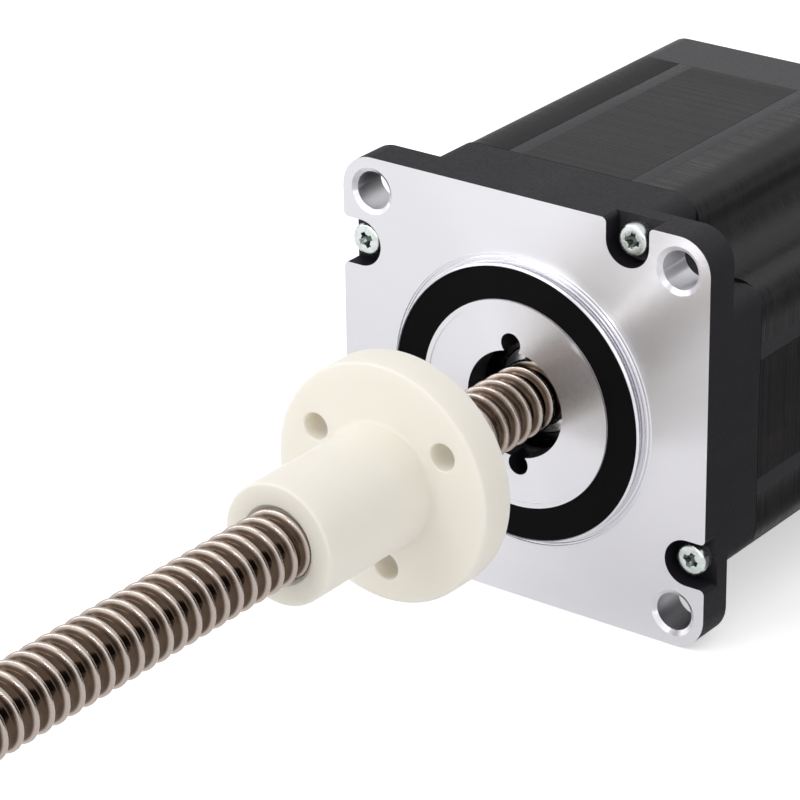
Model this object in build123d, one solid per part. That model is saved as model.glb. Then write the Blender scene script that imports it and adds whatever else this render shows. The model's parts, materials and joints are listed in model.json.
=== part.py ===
from build123d import *
from math import cos, radians, sin
import os

# Linear stepper motor with a lead screw for a shaft and a flanged nut on the screw.
# Millimetres. The shaft lies on the Y axis and the mounting face is the plane Y = 0.
# The screw points along -Y, the motor body is on the +Y side, and Z is up.

# Motor body
frame_size = 56.4
flange_thick = 5.44
flange_corner_r = 4.6
bell_depth = 12.28
stack_length = 40.6
rear_bell_thick = 9.7
edge_break = 0.35
joint_chamfer = 0.12

# Mounting holes in the flange, measured in from its sides
mount_inset = 4.63
mount_hole_d = 5.2
countersink_width = 0.62
countersink_depth = 0.45

# Corner coves that let the mounting screws pass behind the flange
cove_offset = 0.9
stack_cove_r = 5.8
stack_edge_r = 3.5
bell_cove_r = 6.2
bell_edge_r = 2.6

# Pilot boss on the mounting face
pilot_d = 38.1
pilot_height = 1.6
pilot_chamfer = 0.25
relief_width = 1.0
relief_depth = 0.3
ring_inner_d = 28.5
ring_recess = 0.2
rim_width = 0.65
disc_recess = 0.12
screw_bore_d = 14.74
bore_step_y = 2.4
puller_slot_d = 3.0
puller_slot_pcd = 16.6
puller_slot_angle = 94.0
puller_slot_depth = 3.2

# Tie screws that clamp the two bells to the stack
tie_side_inset = 12.2
tie_inset = 2.75
tie_d = 2.5
tie_clearance = 0.15
tie_head_d = 4.4
tie_head_height = 1.5
tie_head_dome = 0.45
tie_washer_d = 4.2
tie_washer_thick = 0.6
tie_washer_split = 0.35
tie_washer_turn = 70.0
tie_thread_depth = 5.0
notch_r = 3.2
notch_depth = 3.1
notch_lip_r = 0.7

# Hollows of the bells
bell_floor = 5.6
rear_cavity_depth = 5.2
bearing_wall = 2.2
rear_dish_d = 24.0
rear_dish_depth = 0.5

# Ball bearings
front_bearing_bore = 8.0
front_bearing_d = 22.0
front_bearing_width = 7.0
front_ball_d = 3.97
rear_bearing_bore = 6.0
rear_bearing_d = 19.0
rear_bearing_width = 6.0
rear_ball_d = 3.5
front_bearing_y = 4.4
rear_bearing_gap = 0.9
ball_count = 7
ball_clearance = 0.05
ring_share = 0.27
rebate_share = 0.4
shield_thick = 0.4
shield_inset = 0.15
shield_gap = 0.25
cage_wall = 1.3
cage_gap = 0.3
preload_height = 0.7
preload_thick = 0.25
preload_share = 0.76

# Stator
pole_count = 8
stator_bore_d = 33.2
shoe_thick = 2.2
shoe_slot = 1.5
pole_width = 6.2
yoke_wall = 4.0
teeth_per_pole = 6
tooth_gap = 1.2
tooth_depth = 0.9
weld_side = 9.4
weld_width = 2.3
weld_depth = 0.12

# Windings and the bobbin ends that insulate them
insulator_ledge = 0.8
ring_overlap = 0.3
liner_thick = 0.6
cap_thick = 0.8
inner_wall_thick = 1.0
inner_wall_slot = 3.0
coil_overhang = 4.3
coil_depth = 3.7
coil_thick = 3.0
coil_corner_r = 2.6
part_gap = 0.1

# Rotor
rotor_teeth = 50
air_gap = 0.1
rotor_end_gap = 0.3
magnet_thick = 2.4
magnet_inset = 1.4
spacer_wall = 1.4

# Lead screw
screw_d = 9.525
screw_reach = 150.0
screw_tip_chamfer = 1.0
centre_hole_d = 2.0
centre_hole_depth = 2.5
shaft_end_gap = 0.5

# Flanged nut
nut_rest = 24.7
nut_length = 25.8
nut_flange_d = 31.75
nut_flange_thick = 5.35
nut_barrel_d = 15.9
nut_clearance = 0.05
nut_hole_d = 3.6
nut_hole_pcd = 22.4
nut_hole_count = 3
nut_hole_angle = 33.0
nut_root_r = 0.8
nut_edge_r = 0.4
nut_bore_chamfer = 0.3

# Outlet for the motor leads, on the side of the rear bell
grommet_width = 9.6
grommet_height = 3.8
grommet_lip = 0.8
lead_count = 4
lead_hole_d = 1.5
lead_pitch = 2.1

# Places that follow from the sizes above
half = frame_size / 2
stack_front = bell_depth
stack_rear = stack_front + stack_length
stack_mid = (stack_front + stack_rear) / 2
motor_rear = stack_rear + rear_bell_thick
mount_reach = half - mount_inset
cove_centre = mount_reach + cove_offset
tie_side = half - tie_side_inset
tie_radial = half - tie_inset
head_base = notch_depth - tie_washer_thick
yoke_r = half - yoke_wall
cavity_r = yoke_r + insulator_ledge
stator_r = stator_bore_d / 2
shoe_r = stator_r + shoe_thick
pole_pitch = 360 / pole_count
tooth_pitch = 360 / rotor_teeth
front_bearing_rear_y = front_bearing_y + front_bearing_width
rear_bearing_y = stack_rear + rear_bearing_gap
rear_bearing_rear_y = rear_bearing_y + rear_bearing_width
rear_seat_y = rear_bearing_rear_y + preload_height
rotor_front = stack_front + rotor_end_gap
rotor_rear = stack_rear - rotor_end_gap
rotor_r = stator_r - air_gap
cup_length = (rotor_rear - rotor_front - magnet_thick) / 2


def level(y):
    """Plane across the shaft at y, with X to the right and Z up."""
    return Plane(origin=(0, y, 0), x_dir=(1, 0, 0), z_dir=(0, -1, 0))


def slab(sketch, y0, y1):
    """A flat outline in X and Z, made solid from y0 to y1."""
    return extrude(level(y1) * sketch, amount=y1 - y0)


def tube(r_in, r_out, y0, y1):
    """A ring or disc round the shaft."""
    sketch = Circle(r_out)
    if r_in > 0:
        sketch -= Circle(r_in)
    return slab(sketch, y0, y1)


def turned(points):
    """A body turned about the shaft from an outline of radius and y."""
    return revolve(make_face(Polyline(*points, close=True)), Axis.Y)


def cove(radius):
    """A round-bottomed corner slot, open outwards along the diagonal."""
    slot = Circle(radius) + Pos(half / 2, 0) * Rectangle(half, 2 * radius)
    return Pos(cove_centre, cove_centre) * Rot(0, 0, 45) * slot


def coved_square(cove_r, edge_r):
    """The square outline with a cove at each corner and rounded shoulders."""
    sketch = Rectangle(frame_size, frame_size)
    sketch -= [Rot(0, 0, 90 * k) * cove(cove_r) for k in range(4)]
    shoulders = [v for v in sketch.vertices() if max(abs(v.X), abs(v.Y)) > half - part_gap]
    return fillet(shoulders, edge_r)


def tie_places():
    """The four tie-screw axes, each a quarter turn from the last."""
    return [Rot(0, 0, 90 * k) * Pos(tie_side, tie_radial) for k in range(4)]


def tie_points():
    """The same four axes, as X and Z."""
    turns = [radians(90 * k) for k in range(4)]
    return [
        (tie_side * cos(a) - tie_radial * sin(a), tie_side * sin(a) + tie_radial * cos(a))
        for a in turns
    ]


def tie_holes(diameter, y0, y1):
    holes = [place * Circle(diameter / 2) for place in tie_places()]
    return slab(Sketch() + holes, y0, y1)


def tie_notches(depth):
    """Pockets for the tie-screw heads, open to the flange's edge."""
    mouth = notch_r + tie_inset
    lip = notch_r + notch_lip_r
    shape = Circle(notch_r) + Pos(0, mouth / 2) * Rectangle(2 * notch_r, mouth)
    flare = Pos(0, tie_inset) * Rectangle(2 * lip, 2 * notch_lip_r)
    for side in (-1, 1):
        flare -= Pos(side * lip, tie_inset - notch_lip_r) * Circle(notch_lip_r)
    pockets = [place * (shape + flare) for place in tie_places()]
    return slab(Sketch() + pockets, 0, depth)


def mounting_hole(x, z):
    """A mounting hole with a countersunk mouth on the face."""
    r = mount_hole_d / 2
    wide = r + countersink_width
    outline = [(0, 0), (wide, 0), (r, countersink_depth), (r, flange_thick), (0, flange_thick)]
    return Pos(x, 0, z) * turned(outline)


def pilot():
    """The turned boss: a painted ring, a bright rim and a bright disc."""
    pilot_r = pilot_d / 2
    ring_r = ring_inner_d / 2
    rim_r = ring_r - rim_width
    face_y = -pilot_height
    return turned([
        (0, 0),
        (pilot_r, 0),
        (pilot_r, face_y + pilot_chamfer),
        (pilot_r - pilot_chamfer, face_y),
        (pilot_r - pilot_chamfer, face_y + ring_recess),
        (ring_r, face_y + ring_recess),
        (ring_r, face_y),
        (rim_r, face_y),
        (rim_r, face_y + disc_recess),
        (0, face_y + disc_recess),
    ])


def front_end_bell():
    outline = RectangleRounded(frame_size, frame_size, flange_corner_r)
    block = slab(coved_square(bell_cove_r, bell_edge_r), flange_thick, stack_front)
    block = chamfer(block.faces().sort_by(Axis.Y)[-1].edges(), joint_chamfer)
    bell = slab(outline, 0, flange_thick) + block + pilot()
    pilot_r = pilot_d / 2
    bore_r = screw_bore_d / 2
    seat_r = front_bearing_d / 2
    boss_r = seat_r + bearing_wall
    shoulder_r = (seat_r + bore_r) / 2
    bell -= tube(pilot_r, pilot_r + relief_width, 0, relief_depth)
    bell -= tube(0, bore_r, -pilot_height, bore_step_y)
    bell -= tube(0, shoulder_r, bore_step_y, front_bearing_y)
    bell -= tube(0, seat_r, front_bearing_y, stack_front)
    bell -= tube(boss_r, cavity_r, bell_floor, stack_front)
    bell -= tube(seat_r, boss_r, front_bearing_rear_y, stack_front)
    for turn in (0, 180):
        slot = tube(0, puller_slot_d / 2, -pilot_height, puller_slot_depth - pilot_height)
        bell -= Rot(0, -(puller_slot_angle + turn), 0) * Pos(puller_slot_pcd / 2, 0, 0) * slot
    for x in (-mount_reach, mount_reach):
        for z in (-mount_reach, mount_reach):
            bell -= mounting_hole(x, z)
    bell -= tie_notches(notch_depth)
    bell -= tie_holes(tie_d + 2 * tie_clearance, notch_depth, stack_front)
    return bell


def outlet_block(x0, x1):
    """The block that the leads pass through, from the rear face of the stack outwards."""
    block = Box(x1 - x0, grommet_height, grommet_width, align=(Align.MIN, Align.MIN, Align.CENTER))
    return Pos(x0, stack_rear, 0) * block


def rear_end_bell():
    bell = slab(coved_square(stack_cove_r, stack_edge_r), stack_rear, motor_rear)
    bell = chamfer(bell.faces().sort_by(Axis.Y)[-1].edges(), edge_break)
    bell = chamfer(bell.faces().sort_by(Axis.Y)[0].edges(), joint_chamfer)
    seat_r = rear_bearing_d / 2
    boss_r = seat_r + bearing_wall
    bell -= tube(boss_r, cavity_r, stack_rear, stack_rear + rear_cavity_depth)
    bell -= tube(0, boss_r, stack_rear, rear_bearing_y)
    bell -= tube(0, seat_r, rear_bearing_y, rear_seat_y)
    bell -= tube(0, rear_dish_d / 2, motor_rear - rear_dish_depth, motor_rear)
    bell -= tie_holes(tie_d, stack_rear, motor_rear)
    bell -= outlet_block(-half, grommet_lip - cavity_r)
    return bell


def lead_grommet():
    """A rubber block in the bell's wall, with a row of holes for the leads."""
    x0 = -half + edge_break
    x1 = -cavity_r
    block = outlet_block(x0, x1)
    y = stack_rear + grommet_height / 2
    for k in range(lead_count):
        z = (k - (lead_count - 1) / 2) * lead_pitch
        hole = Cylinder(lead_hole_d / 2, 2 * (x1 - x0), rotation=(0, 90, 0))
        block -= Pos((x0 + x1) / 2, y, z) * hole
    return block


def tooth_gaps(radius, angles):
    """Straight-sided gaps between teeth, cut across the given radius."""
    gap = Pos(radius, 0) * Rectangle(2 * tooth_depth, tooth_gap)
    return [Rot(0, 0, angle) * gap for angle in angles]


def pole_teeth(angle):
    """Angles of the gaps between one pole's teeth."""
    middle = (teeth_per_pole - 2) / 2
    return [angle + (k - middle) * tooth_pitch for k in range(teeth_per_pole - 1)]


def weld_grooves():
    """Shallow channels of the weld runs, two on each side of the stack."""
    groove = Pos(0, half) * Rectangle(weld_width, 2 * weld_depth)
    return [Rot(0, 0, 90 * k) * Pos(s * weld_side, 0) * groove for k in range(4) for s in (-1, 1)]


def stator_stack():
    """The laminations: a yoke with toothed poles that point inwards."""
    angles = [pole_pitch * k for k in range(pole_count)]
    pole_root = yoke_r + yoke_wall / 4
    shoes = Circle(shoe_r) - Circle(stator_r)
    slot = Pos(stator_r + shoe_thick / 2, 0) * Rectangle(2 * shoe_thick, shoe_slot)
    shoes -= [Rot(0, 0, angle + pole_pitch / 2) * slot for angle in angles]
    pole = Pos((stator_r + pole_root) / 2, 0) * Rectangle(pole_root - stator_r, pole_width)
    sheet = coved_square(stack_cove_r, stack_edge_r) - Circle(yoke_r) + shoes
    sheet += [Rot(0, 0, angle) * pole for angle in angles]
    sheet -= Circle(stator_r)
    for angle in angles:
        sheet -= tooth_gaps(stator_r, pole_teeth(angle))
    sheet -= [place * Circle(tie_d / 2 + tie_clearance) for place in tie_places()]
    sheet -= weld_grooves()
    return slab(sheet, stack_front, stack_rear)


def coil(index):
    """One winding, a rounded frame round its pole."""
    window = pole_width + 2 * liner_thick
    outer = RectangleRounded(stack_length + 2 * coil_overhang, window + 2 * coil_thick, coil_corner_r)
    inner = Rectangle(stack_length + 2 * cap_thick, window)
    plane = Plane(origin=(shoe_r + part_gap, stack_mid, 0), x_dir=(0, 1, 0), z_dir=(1, 0, 0))
    return Rot(0, pole_pitch * index, 0) * extrude(plane * (outer - inner), amount=coil_depth)


def insulator(face_y, outward):
    """A bobbin end: a ring on the yoke, a cap on each pole and liners down the slots."""
    low, high = sorted((face_y, face_y + outward * coil_overhang))
    cap_low, cap_high = sorted((face_y, face_y + outward * cap_thick))
    liner_low, liner_high = sorted((face_y, face_y - outward * stack_length / 2))
    ring = tube(yoke_r - ring_overlap, cavity_r - part_gap, low, high)
    cap_inner = shoe_r - inner_wall_thick
    inner_wall = Circle(shoe_r) - Circle(cap_inner)
    slot = Pos(shoe_r, 0) * Rectangle(2 * shoe_thick, inner_wall_slot)
    inner_wall -= [Rot(0, 0, pole_pitch * (k + 0.5)) * slot for k in range(pole_count)]
    ring += slab(inner_wall, low, high)
    width = pole_width + 2 * liner_thick
    cap = Pos((cap_inner + yoke_r) / 2, 0) * Rectangle(yoke_r - cap_inner, width)
    start = shoe_r + part_gap
    end = yoke_r - ring_overlap - part_gap
    liner = Pos((start + end) / 2, 0) * Rectangle(end - start, liner_thick)
    offset = (pole_width + liner_thick) / 2
    for k in range(pole_count):
        turn = Rot(0, pole_pitch * k, 0)
        ring += turn * slab(cap, cap_low, cap_high)
        for side in (-1, 1):
            ring += turn * slab(Pos(0, side * offset) * liner, liner_low, liner_high)
    return ring


def tie_screw(x, z):
    """A domed head and a shank that reaches into the rear bell."""
    head_r = tie_head_d / 2
    shank_r = tie_d / 2
    top = head_base - tie_head_height
    end = stack_rear + tie_thread_depth
    outline = [
        (0, top),
        (head_r - tie_head_dome, top),
        (head_r, top + tie_head_dome),
        (head_r, head_base),
        (shank_r, head_base),
        (shank_r, end),
        (0, end),
    ]
    return Pos(x, 0, z) * turned(outline)


def tie_washer(x, z, turn):
    """A split spring washer under the head."""
    ring = tube(tie_d / 2 + tie_clearance / 2, tie_washer_d / 2, head_base, notch_depth)
    split = Box(tie_washer_d, 2 * tie_washer_thick, tie_washer_split)
    split = Pos(tie_washer_d / 2, (head_base + notch_depth) / 2, 0) * split
    return Pos(x, 0, z) * (ring - Rot(0, turn, 0) * split)


def bearing(name, bore, outside, width, ball_d, y0):
    """A shielded ball bearing: two rings, balls, a cage and two shields."""
    y1 = y0 + width
    mid = (y0 + y1) / 2
    wall = (outside - bore) / 2
    inner_top = bore / 2 + wall * ring_share
    outer_low = outside / 2 - wall * ring_share
    pitch_r = (bore + outside) / 4
    ball_r = ball_d / 2
    groove = Pos(pitch_r, mid) * Circle(ball_r + ball_clearance)
    rebate_r = outer_low + (outside / 2 - outer_low) * rebate_share
    rebate = shield_inset + shield_thick
    inner = Pos((bore / 2 + inner_top) / 2, mid) * Rectangle(inner_top - bore / 2, width)
    outer = Pos((outside / 2 + outer_low) / 2, mid) * Rectangle(outside / 2 - outer_low, width)
    for y in (y0 + rebate / 2, y1 - rebate / 2):
        outer -= Pos((outer_low + rebate_r) / 2, y) * Rectangle(rebate_r - outer_low, rebate)
    cage_r = cage_wall / 2
    cage_half = width / 2 - rebate - cage_gap
    cage = tube(pitch_r - cage_r, pitch_r + cage_r, mid - cage_half, mid + cage_half)
    pocket = Cylinder(ball_r + ball_clearance, 2 * cage_wall, rotation=(0, 90, 0))
    balls = []
    for k in range(ball_count):
        place = Rot(0, 360 / ball_count * k, 0) * Pos(pitch_r, mid, 0)
        balls.append(place * Sphere(ball_r))
        cage -= place * pocket
    shield_r = inner_top + shield_gap
    front_shield = tube(shield_r, rebate_r, y0 + shield_inset, y0 + rebate)
    rear_shield = tube(shield_r, rebate_r, y1 - rebate, y1 - shield_inset)
    return {
        name + "_inner_ring": revolve(inner - groove, Axis.Y),
        name + "_outer_ring": revolve(outer - groove, Axis.Y),
        name + "_balls": Compound(children=balls),
        name + "_cage": cage,
        name + "_shields": Compound(children=[front_shield, rear_shield]),
    }


def preload_washer():
    """A dished spring that pushes the rear bearing forward."""
    rim_r = rear_bearing_d / 2 - part_gap
    inner_r = rim_r * preload_share
    return turned([
        (rim_r, rear_bearing_rear_y),
        (rim_r, rear_bearing_rear_y + preload_thick),
        (inner_r, rear_seat_y),
        (inner_r, rear_seat_y - preload_thick),
    ])


def rotor_cup(y0, y1, turn):
    """One toothed half of the rotor."""
    angles = [turn + tooth_pitch * (k + 0.5) for k in range(rotor_teeth)]
    sheet = Circle(rotor_r) - Circle(front_bearing_bore / 2)
    return slab(sheet - tooth_gaps(rotor_r, angles), y0, y1)


def lead_screw():
    """Screw and rotor shaft in one piece; the thread is left to its finish."""
    r = screw_d / 2
    front_r = front_bearing_bore / 2
    rear_r = rear_bearing_bore / 2
    end_y = rear_seat_y - shaft_end_gap
    tip = -screw_reach
    centre_r = centre_hole_d / 2
    outline = [
        (0, tip + centre_hole_depth),
        (centre_r, tip + centre_hole_depth - centre_r),
        (centre_r, tip),
        (r - screw_tip_chamfer, tip),
        (r, tip + screw_tip_chamfer),
        (r, front_bearing_y),
        (front_r, front_bearing_y),
        (front_r, rotor_rear),
        (rear_r, rotor_rear),
        (rear_r, end_y - edge_break),
        (rear_r - edge_break, end_y),
        (0, end_y),
    ]
    return turned(outline)


def flange_nut():
    """Plastic nut: a round flange with a barrel towards the tip of the screw."""
    back = -nut_rest
    front = back - nut_flange_thick
    end = back - nut_length
    flange_r = nut_flange_d / 2
    barrel_r = nut_barrel_d / 2
    bore_r = screw_d / 2 + nut_clearance
    wide = bore_r + nut_bore_chamfer
    nut = tube(0, flange_r, front, back) + tube(0, barrel_r, end, front)
    root = [
        edge for edge in nut.edges().filter_by(GeomType.CIRCLE)
        if edge.radius < flange_r - part_gap and abs(edge.center().Y - front) < part_gap
    ]
    nut = fillet(root, nut_root_r)
    rims = [
        edge for edge in nut.edges().filter_by(GeomType.CIRCLE)
        if edge.radius > flange_r - part_gap or edge.center().Y < end + part_gap
    ]
    nut = fillet(rims, nut_edge_r)
    nut -= turned([
        (0, end),
        (wide, end),
        (bore_r, end + nut_bore_chamfer),
        (bore_r, back - nut_bore_chamfer),
        (wide, back),
        (0, back),
    ])
    hole = Pos(nut_hole_pcd / 2, 0, 0) * tube(0, nut_hole_d / 2, front, back)
    for k in range(nut_hole_count):
        nut -= Rot(0, -(nut_hole_angle + 360 / nut_hole_count * k), 0) * hole
    return nut


def rotor_parts():
    """The two cups, half a tooth out of step, the magnet between them and the spacers."""
    shaft_r = front_bearing_bore / 2
    rear_shaft_r = rear_bearing_bore / 2
    split_front = rotor_front + cup_length
    split_rear = rotor_rear - cup_length
    return {
        "rotor_cup_front": rotor_cup(rotor_front, split_front, 0),
        "rotor_magnet": tube(shaft_r, rotor_r - magnet_inset, split_front, split_rear),
        "rotor_cup_rear": rotor_cup(split_rear, rotor_rear, tooth_pitch / 2),
        "front_spacer": tube(shaft_r, shaft_r + spacer_wall, front_bearing_rear_y, rotor_front),
        "rear_spacer": tube(rear_shaft_r, rear_shaft_r + spacer_wall, rotor_rear, rear_bearing_y),
    }


def fasteners():
    screws = [tie_screw(x, z) for x, z in tie_points()]
    washers = [tie_washer(x, z, tie_washer_turn * k) for k, (x, z) in enumerate(tie_points())]
    return {
        "tie_screws": Compound(children=screws),
        "tie_screw_washers": Compound(children=washers),
    }


def build():
    nodes = {
        "front_end_bell": front_end_bell(),
        "rear_end_bell": rear_end_bell(),
        "stator_stack": stator_stack(),
        "phase_a_coils": Compound(children=[coil(k) for k in range(0, pole_count, 2)]),
        "phase_b_coils": Compound(children=[coil(k) for k in range(1, pole_count, 2)]),
        "front_insulator": insulator(stack_front, -1),
        "rear_insulator": insulator(stack_rear, 1),
        "lead_grommet": lead_grommet(),
        "preload_washer": preload_washer(),
        "lead_screw": lead_screw(),
        "flange_nut": flange_nut(),
    }
    nodes.update(rotor_parts())
    nodes.update(fasteners())
    nodes.update(bearing(
        "front_bearing",
        front_bearing_bore,
        front_bearing_d,
        front_bearing_width,
        front_ball_d,
        front_bearing_y,
    ))
    nodes.update(bearing(
        "rear_bearing",
        rear_bearing_bore,
        rear_bearing_d,
        rear_bearing_width,
        rear_ball_d,
        rear_bearing_y,
    ))
    return nodes


os.makedirs("parts", exist_ok=True)
for node, shape in build().items():
    export_step(shape, "parts/" + node + ".step")
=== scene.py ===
import json
from math import cos, hypot, radians, sin, tau

import bpy
from bpy.props import FloatProperty, FloatVectorProperty
from mathutils import Matrix, Vector


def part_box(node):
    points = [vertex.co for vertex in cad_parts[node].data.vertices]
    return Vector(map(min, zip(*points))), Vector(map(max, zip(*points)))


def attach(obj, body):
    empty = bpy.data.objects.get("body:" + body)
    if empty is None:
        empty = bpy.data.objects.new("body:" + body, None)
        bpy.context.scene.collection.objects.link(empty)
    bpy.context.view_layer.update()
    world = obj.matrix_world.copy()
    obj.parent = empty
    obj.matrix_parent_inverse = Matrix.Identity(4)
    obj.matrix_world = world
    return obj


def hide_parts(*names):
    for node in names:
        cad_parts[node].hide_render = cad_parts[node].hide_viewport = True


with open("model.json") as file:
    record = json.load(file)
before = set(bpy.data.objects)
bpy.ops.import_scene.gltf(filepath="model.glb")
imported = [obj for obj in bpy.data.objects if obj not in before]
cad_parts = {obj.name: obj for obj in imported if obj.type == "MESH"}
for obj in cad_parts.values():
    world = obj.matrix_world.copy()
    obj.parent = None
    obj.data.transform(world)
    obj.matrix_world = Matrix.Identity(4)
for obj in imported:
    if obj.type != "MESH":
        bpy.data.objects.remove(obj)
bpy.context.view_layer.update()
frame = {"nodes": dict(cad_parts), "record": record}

bl_info = {
    "name": "Linear stepper motor",
    "version": (1, 0, 0),
    "blender": (4, 5, 0),
    "location": "3D View > Sidebar > Motor",
    "description": "Dresses the packed linear stepper motor: castings, laminations, thread and nut",
    "category": "Add Mesh",
}

# The shaft lies on the Y axis, the mounting face is the plane Y = 0 and the screw points along -Y.
MM = 0.001
MERGE = 0.001 * MM
STACK_LOW, STACK_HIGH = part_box("stator_stack")
SCREW_LOW, SCREW_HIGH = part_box("lead_screw")
NUT_LOW, NUT_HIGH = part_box("flange_nut")
MOUNTS = {mount["name"]: mount for mount in frame["record"]["mounts"]}
FACE_BOLTS = MOUNTS["face_bolts"]["dims"]
NUT_BOLTS = MOUNTS["nut_bolts"]["dims"]
HALF = STACK_HIGH.x
SCREW_R = SCREW_HIGH.x
THREAD_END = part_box("front_bearing_inner_ring")[0].y

# Sizes of the pieces that are modelled here and that the frame doesn't give
CREST_AT = 0.69 * MM
CREST_SHARE = 0.075
FLANK_SHARE = 0.13
SHAFT_R = 4.0 * MM
REAR_SHAFT_R = 3.0 * MM
SHAFT_OVERLAP = 0.05 * MM
EDGE_BREAK = 0.35 * MM
TIP_CHAMFER = 1.0 * MM
CENTRE_HOLE_R = 1.0 * MM
CENTRE_HOLE_DEPTH = 2.5 * MM
NUT_BARREL_R = MOUNTS["nut_barrel"]["dims"]["r_mm"] * MM
NUT_FLANGE_BACK = NUT_HIGH.y
NUT_FLANGE_FRONT = MOUNTS["nut_bolts"]["pos_m"][1]
NUT_ROOT_ROUND = 0.8 * MM
NUT_EDGE_ROUND = 0.4 * MM
NUT_MOUTH = 0.35 * MM
NUT_HOLE_BREAK = 0.15 * MM
NUT_HOLE_ANGLE = radians(33)
TIE_SIDE = 16.0 * MM
TIE_RADIAL = 25.45 * MM
TIE_HEAD_R = 2.2 * MM
TIE_HEAD_HEIGHT = 1.5 * MM
TIE_SHANK_R = 1.25 * MM
TIE_TURNS = (radians(12), radians(-28), radians(40), radians(20))
RECESS_LENGTH = 2.9 * MM
RECESS_WIDTH = 0.85 * MM
RECESS_DEPTH = 0.95 * MM
WASHER_R = 2.1 * MM
WASHER_THICK = 0.5 * MM
WASHER_PLAY = 0.08 * MM
WASHER_SWEEP = radians(346)
WASHER_RISE = 0.1 * MM
HEAD_ROUND = 0.5 * MM
HEAD_CROWN = 0.02 * MM
SHARP_BREAK = 0.05 * MM
OUTLINE_STEP = 0.45 * MM
WELD_SIDE = 9.4 * MM
WELD_WIDTH = 2.3 * MM
WELD_DEPTH = 0.12 * MM
WELD_PLAY = 0.005 * MM

# Radii and depths of the mounting face's zones, in millimetres as the finish reads them
PILOT_R = MOUNTS["pilot"]["dims"]["r_mm"]
LIP_R = PILOT_R - 0.27
RELIEF_R = PILOT_R + 1.0
RING_R = 14.25
RIM_R = 13.6
BORE_R = 7.37
DISC_Y = -1.45
COUNTERSINK_R = FACE_BOLTS["hole_r_mm"] + 0.66

# Distances in millimetres between the turned ridges of the lips and between the windings' turns.
# Both are finer on the real motor, and are drawn this coarse so that they show.
RIDGE_STEP = 0.5
WIRE_STEP = 0.35


def linear(code):
    """An sRGB hex colour as linear RGBA."""
    channels = [int(code[i:i + 2], 16) / 255 for i in (1, 3, 5)]
    return [c / 12.92 if c <= 0.04045 else ((c + 0.055) / 1.055) ** 2.4 for c in channels] + [1.0]


def picked(colour):
    """A colour property as linear RGBA."""
    return (*colour, 1.0)


class MotorSizes(bpy.types.PropertyGroup):
    """Sizes of the detail that the dressed motor adds to the frame."""

    thread_pitch: FloatProperty(
        name="Thread pitch", description="Distance between neighbouring crests of the screw",
        default=2.54 * MM, min=0.5 * MM, max=10 * MM, subtype="DISTANCE", unit="LENGTH", precision=5)
    thread_depth: FloatProperty(
        name="Thread depth", description="Depth of the groove between two crests",
        default=1.05 * MM, min=0.1 * MM, max=3 * MM, subtype="DISTANCE", unit="LENGTH", precision=5)
    thread_fit: FloatProperty(
        name="Thread fit", description="Play between the screw's thread and the nut's thread",
        default=0.09 * MM, min=0.01 * MM, max=0.5 * MM, subtype="DISTANCE", unit="LENGTH", precision=5)
    sheet_thick: FloatProperty(
        name="Sheet thickness", description="Thickness of one lamination of the stator stack",
        default=0.5 * MM, min=0.2 * MM, max=2 * MM, subtype="DISTANCE", unit="LENGTH", precision=5)
    sheet_gap: FloatProperty(
        name="Sheet gap", description="Visible gap between two laminations",
        default=0.04 * MM, min=0.005 * MM, max=0.2 * MM, subtype="DISTANCE", unit="LENGTH", precision=5)


class MotorColours(bpy.types.PropertyGroup):
    """Base colours of the finishes, linear RGB."""

    paint: FloatVectorProperty(
        name="Paint", description="Satin black enamel on the castings and the stack",
        default=linear("#1d1b20")[:3], min=0, max=1, subtype="COLOR", size=3)
    machined: FloatVectorProperty(
        name="Machined face", description="Turned bare aluminium of the mounting face",
        default=linear("#e6e5ea")[:3], min=0, max=1, subtype="COLOR", size=3)
    stainless: FloatVectorProperty(
        name="Screw", description="Rolled stainless steel of the lead screw",
        default=linear("#b9ada5")[:3], min=0, max=1, subtype="COLOR", size=3)
    # The groove colour is painted shade: the dark brown laid into the screw's groove.
    groove: FloatVectorProperty(
        name="Groove", description="Dark brown painted into the screw's groove as its shade",
        default=linear("#44362d")[:3], min=0, max=1, subtype="COLOR", size=3)
    acetal: FloatVectorProperty(
        name="Nut", description="Ivory acetal of the nut",
        default=linear("#f6f1e8")[:3], min=0, max=1, subtype="COLOR", size=3)
    zinc: FloatVectorProperty(
        name="Fasteners", description="Bright zinc plate of the tie screws and washers",
        default=linear("#dfe3e6")[:3], min=0, max=1, subtype="COLOR", size=3)


def sizes():
    return bpy.context.scene.motor_sizes


def colours():
    return bpy.context.scene.motor_colours


# Materials

# Numbered inputs: Math takes its operands at 0, 1 and 2. Map Range takes a value at 0, the ends of
# its range at 1 and 2, and what it gives at them at 3 and 4 (0 and 1 unless told). Mix takes its
# factor at 0 and its two sides at 2 and 3 as numbers, 4 and 5 as vectors, or 6 and 7 as colours.
# A noise's scale is in grains per millimetre.
SMOOTH = {"interpolation_type": "SMOOTHSTEP"}


def add(tree, kind, inputs=None, **settings):
    """A node with its settings. An input takes a value, a socket, or a node, whose first output
    in use is then linked."""
    node = tree.nodes.new("ShaderNode" + kind)
    for name, value in settings.items():
        setattr(node, name, value)
    for key, value in (inputs or {}).items():
        if isinstance(value, bpy.types.Node):
            value = next(socket for socket in value.outputs if socket.enabled)
        if isinstance(value, bpy.types.NodeSocket):
            tree.links.new(value, node.inputs[key])
        else:
            node.inputs[key].default_value = value
    return node


def new_material(name):
    material = bpy.data.materials.new(name)
    material.use_nodes = True
    material.node_tree.nodes.clear()
    return material, material.node_tree


def surface(tree, inputs):
    """The shader and the material's output."""
    shader = add(tree, "BsdfPrincipled", inputs)
    add(tree, "OutputMaterial", {"Surface": shader})


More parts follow.
